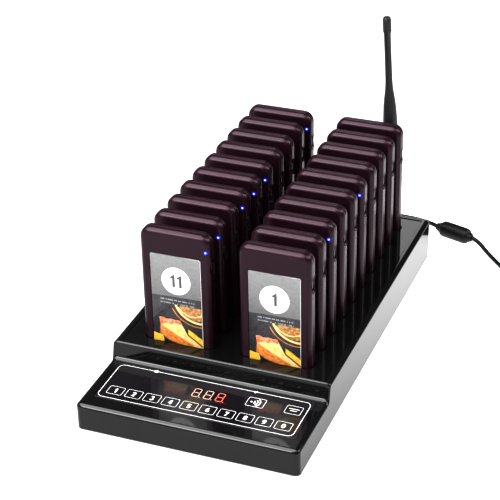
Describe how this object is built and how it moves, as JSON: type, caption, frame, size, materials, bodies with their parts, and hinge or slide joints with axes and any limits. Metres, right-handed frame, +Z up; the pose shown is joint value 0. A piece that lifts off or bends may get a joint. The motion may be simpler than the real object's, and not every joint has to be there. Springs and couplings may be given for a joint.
{
  "type": "restaurant pager system",
  "caption": "Guest paging system: charging base with touch keypad, display, whip antenna and power lead, and hand-held pagers that lift out of its wells.",
  "frame": {"origin": "centre of the base's footprint, on the table", "axes": "+Z up, +Y from the keypad to the antenna, +X to the right as seen from the keypad"},
  "size_m": [0.3195, 0.3502, 0.1969],
  "materials": {
    "base_gloss": "high gloss black moulding",
    "base_matte": "black moulding with a fine grain",
    "panel_film": "smooth black printed film",
    "display_red": "dark red tinted filter",
    "circuit_board": "green solder mask",
    "cell_foil": "silver pouch foil",
    "motor_steel": "drawn steel can",
    "pager_plastic": "dark plum satin moulding",
    "pager_key": "dark plum matt key",
    "label_window": "clear glossy window over a printed card",
    "antenna_rubber": "black moulded rubber",
    "lead_rubber": "smooth black lead jacket"
  },
  "bodies": {
    "base": {"top_cover": "base_gloss", "base_tray": "base_matte", "keypad_panel": "panel_film", "display_module": "display_red", "main_board": "circuit_board", "charging_board": "circuit_board", "dc_jack": "base_matte", "dc_plug": "lead_rubber", "dc_lead": "lead_rubber", "ferrite_core": "lead_rubber", "dc_lead_run": "lead_rubber", "dc_lead_coil": "lead_rubber", "power_adapter": "base_matte"},
    "antenna_knuckle": {"antenna_knuckle": "antenna_rubber"},
    "antenna_whip": {"antenna_whip": "antenna_rubber"},
    "pager_01": {"pager_01_front_shell": "pager_plastic", "pager_01_rear_shell": "pager_plastic", "pager_01_window": "label_window", "pager_01_board": "circuit_board", "pager_01_battery": "cell_foil", "pager_01_vibration_motor": "motor_steel"},
    "pager_01_key": {"pager_01_key": "pager_key"},
    "pager_02": {"pager_02_case": "pager_plastic"},
    "pager_02_key": {"pager_02_key": "pager_key"},
    "pager_03": {"pager_03_case": "pager_plastic"},
    "pager_03_key": {"pager_03_key": "pager_key"},
    "pager_04": {"pager_04_case": "pager_plastic"},
    "pager_04_key": {"pager_04_key": "pager_key"},
    "pager_05": {"pager_05_case": "pager_plastic"},
    "pager_05_key": {"pager_05_key": "pager_key"},
    "pager_06": {"pager_06_case": "pager_plastic"},
    "pager_06_key": {"pager_06_key": "pager_key"},
    "pager_07": {"pager_07_case": "pager_plastic"},
    "pager_07_key": {"pager_07_key": "pager_key"},
    "pager_08": {"pager_08_case": "pager_plastic"},
    "pager_08_key": {"pager_08_key": "pager_key"},
    "pager_09": {"pager_09_case": "pager_plastic"},
    "pager_09_key": {"pager_09_key": "pager_key"},
    "pager_10": {"pager_10_case": "pager_plastic"},
    "pager_10_key": {"pager_10_key": "pager_key"},
    "pager_11": {"pager_11_case": "pager_plastic"},
    "pager_11_key": {"pager_11_key": "pager_key"},
    "pager_12": {"pager_12_case": "pager_plastic"},
    "pager_12_key": {"pager_12_key": "pager_key"},
    "pager_13": {"pager_13_case": "pager_plastic"},
    "pager_13_key": {"pager_13_key": "pager_key"},
    "pager_14": {"pager_14_case": "pager_plastic"},
    "pager_14_key": {"pager_14_key": "pager_key"},
    "pager_15": {"pager_15_case": "pager_plastic"},
    "pager_15_key": {"pager_15_key": "pager_key"},
    "pager_16": {"pager_16_case": "pager_plastic"},
    "pager_16_key": {"pager_16_key": "pager_key"},
    "pager_17": {"pager_17_case": "pager_plastic"},
    "pager_17_key": {"pager_17_key": "pager_key"},
    "pager_18": {"pager_18_case": "pager_plastic"},
    "pager_18_key": {"pager_18_key": "pager_key"},
    "pager_19": {"pager_19_case": "pager_plastic"},
    "pager_19_key": {"pager_19_key": "pager_key"},
    "pager_20": {"pager_20_case": "pager_plastic"},
    "pager_20_key": {"pager_20_key": "pager_key"}
  },
  "joints": [
    {"name": "pager_01_lift", "type": "slide", "parent": "base", "child": "pager_01", "axis": [0, 0, 1], "range_m": [0, 0.11]},
    {"name": "pager_02_lift", "type": "slide", "parent": "base", "child": "pager_02", "axis": [0, 0, 1], "range_m": [0, 0.11]},
    {"name": "pager_03_lift", "type": "slide", "parent": "base", "child": "pager_03", "axis": [0, 0, 1], "range_m": [0, 0.11]},
    {"name": "pager_04_lift", "type": "slide", "parent": "base", "child": "pager_04", "axis": [0, 0, 1], "range_m": [0, 0.11]},
    {"name": "pager_05_lift", "type": "slide", "parent": "base", "child": "pager_05", "axis": [0, 0, 1], "range_m": [0, 0.11]},
    {"name": "pager_06_lift", "type": "slide", "parent": "base", "child": "pager_06", "axis": [0, 0, 1], "range_m": [0, 0.11]},
    {"name": "pager_07_lift", "type": "slide", "parent": "base", "child": "pager_07", "axis": [0, 0, 1], "range_m": [0, 0.11]},
    {"name": "pager_08_lift", "type": "slide", "parent": "base", "child": "pager_08", "axis": [0, 0, 1], "range_m": [0, 0.11]},
    {"name": "pager_09_lift", "type": "slide", "parent": "base", "child": "pager_09", "axis": [0, 0, 1], "range_m": [0, 0.11]},
    {"name": "pager_10_lift", "type": "slide", "parent": "base", "child": "pager_10", "axis": [0, 0, 1], "range_m": [0, 0.11]},
    {"name": "pager_11_lift", "type": "slide", "parent": "base", "child": "pager_11", "axis": [0, 0, 1], "range_m": [0, 0.11]},
    {"name": "pager_12_lift", "type": "slide", "parent": "base", "child": "pager_12", "axis": [0, 0, 1], "range_m": [0, 0.11]},
    {"name": "pager_13_lift", "type": "slide", "parent": "base", "child": "pager_13", "axis": [0, 0, 1], "range_m": [0, 0.11]},
    {"name": "pager_14_lift", "type": "slide", "parent": "base", "child": "pager_14", "axis": [0, 0, 1], "range_m": [0, 0.11]},
    {"name": "pager_15_lift", "type": "slide", "parent": "base", "child": "pager_15", "axis": [0, 0, 1], "range_m": [0, 0.11]},
    {"name": "pager_16_lift", "type": "slide", "parent": "base", "child": "pager_16", "axis": [0, 0, 1], "range_m": [0, 0.11]},
    {"name": "pager_17_lift", "type": "slide", "parent": "base", "child": "pager_17", "axis": [0, 0, 1], "range_m": [0, 0.11]},
    {"name": "pager_18_lift", "type": "slide", "parent": "base", "child": "pager_18", "axis": [0, 0, 1], "range_m": [0, 0.11]},
    {"name": "pager_19_lift", "type": "slide", "parent": "base", "child": "pager_19", "axis": [0, 0, 1], "range_m": [0, 0.11]},
    {"name": "pager_20_lift", "type": "slide", "parent": "base", "child": "pager_20", "axis": [0, 0, 1], "range_m": [0, 0.11]},
    {"name": "pager_01_key_press", "type": "slide", "parent": "pager_01", "child": "pager_01_key", "axis": [-1, 0, 0], "range_m": [0, 0.0005], "stiffness_N_per_m": 600},
    {"name": "pager_02_key_press", "type": "slide", "parent": "pager_02", "child": "pager_02_key", "axis": [-1, 0, 0], "range_m": [0, 0.0005], "stiffness_N_per_m": 600},
    {"name": "pager_03_key_press", "type": "slide", "parent": "pager_03", "child": "pager_03_key", "axis": [-1, 0, 0], "range_m": [0, 0.0005], "stiffness_N_per_m": 600},
    {"name": "pager_04_key_press", "type": "slide", "parent": "pager_04", "child": "pager_04_key", "axis": [-1, 0, 0], "range_m": [0, 0.0005], "stiffness_N_per_m": 600},
    {"name": "pager_05_key_press", "type": "slide", "parent": "pager_05", "child": "pager_05_key", "axis": [-1, 0, 0], "range_m": [0, 0.0005], "stiffness_N_per_m": 600},
    {"name": "pager_06_key_press", "type": "slide", "parent": "pager_06", "child": "pager_06_key", "axis": [-1, 0, 0], "range_m": [0, 0.0005], "stiffness_N_per_m": 600},
    {"name": "pager_07_key_press", "type": "slide", "parent": "pager_07", "child": "pager_07_key", "axis": [-1, 0, 0], "range_m": [0, 0.0005], "stiffness_N_per_m": 600},
    {"name": "pager_08_key_press", "type": "slide", "parent": "pager_08", "child": "pager_08_key", "axis": [-1, 0, 0], "range_m": [0, 0.0005], "stiffness_N_per_m": 600},
    {"name": "pager_09_key_press", "type": "slide", "parent": "pager_09", "child": "pager_09_key", "axis": [-1, 0, 0], "range_m": [0, 0.0005], "stiffness_N_per_m": 600},
    {"name": "pager_10_key_press", "type": "slide", "parent": "pager_10", "child": "pager_10_key", "axis": [-1, 0, 0], "range_m": [0, 0.0005], "stiffness_N_per_m": 600},
    {"name": "pager_11_key_press", "type": "slide", "parent": "pager_11", "child": "pager_11_key", "axis": [-1, 0, 0], "range_m": [0, 0.0005], "stiffness_N_per_m": 600},
    {"name": "pager_12_key_press", "type": "slide", "parent": "pager_12", "child": "pager_12_key", "axis": [-1, 0, 0], "range_m": [0, 0.0005], "stiffness_N_per_m": 600},
    {"name": "pager_13_key_press", "type": "slide", "parent": "pager_13", "child": "pager_13_key", "axis": [-1, 0, 0], "range_m": [0, 0.0005], "stiffness_N_per_m": 600},
    {"name": "pager_14_key_press", "type": "slide", "parent": "pager_14", "child": "pager_14_key", "axis": [-1, 0, 0], "range_m": [0, 0.0005], "stiffness_N_per_m": 600},
    {"name": "pager_15_key_press", "type": "slide", "parent": "pager_15", "child": "pager_15_key", "axis": [-1, 0, 0], "range_m": [0, 0.0005], "stiffness_N_per_m": 600},
    {"name": "pager_16_key_press", "type": "slide", "parent": "pager_16", "child": "pager_16_key", "axis": [-1, 0, 0], "range_m": [0, 0.0005], "stiffness_N_per_m": 600},
    {"name": "pager_17_key_press", "type": "slide", "parent": "pager_17", "child": "pager_17_key", "axis": [-1, 0, 0], "range_m": [0, 0.0005], "stiffness_N_per_m": 600},
    {"name": "pager_18_key_press", "type": "slide", "parent": "pager_18", "child": "pager_18_key", "axis": [-1, 0, 0], "range_m": [0, 0.0005], "stiffness_N_per_m": 600},
    {"name": "pager_19_key_press", "type": "slide", "parent": "pager_19", "child": "pager_19_key", "axis": [-1, 0, 0], "range_m": [0, 0.0005], "stiffness_N_per_m": 600},
    {"name": "pager_20_key_press", "type": "slide", "parent": "pager_20", "child": "pager_20_key", "axis": [-1, 0, 0], "range_m": [0, 0.0005], "stiffness_N_per_m": 600},
    {"name": "antenna_turn", "type": "hinge", "parent": "base", "child": "antenna_knuckle", "pos_m": [0.0504, 0.1413, 0.0347], "axis": [0, 0, 1], "range_deg": [-180, 0]},
    {"name": "antenna_tilt", "type": "hinge", "parent": "antenna_knuckle", "child": "antenna_whip", "pos_m": [0.0504, 0.1413, 0.047], "axis": [0, -1, 0], "range_deg": [-3.2, 86.8]}
  ]
}
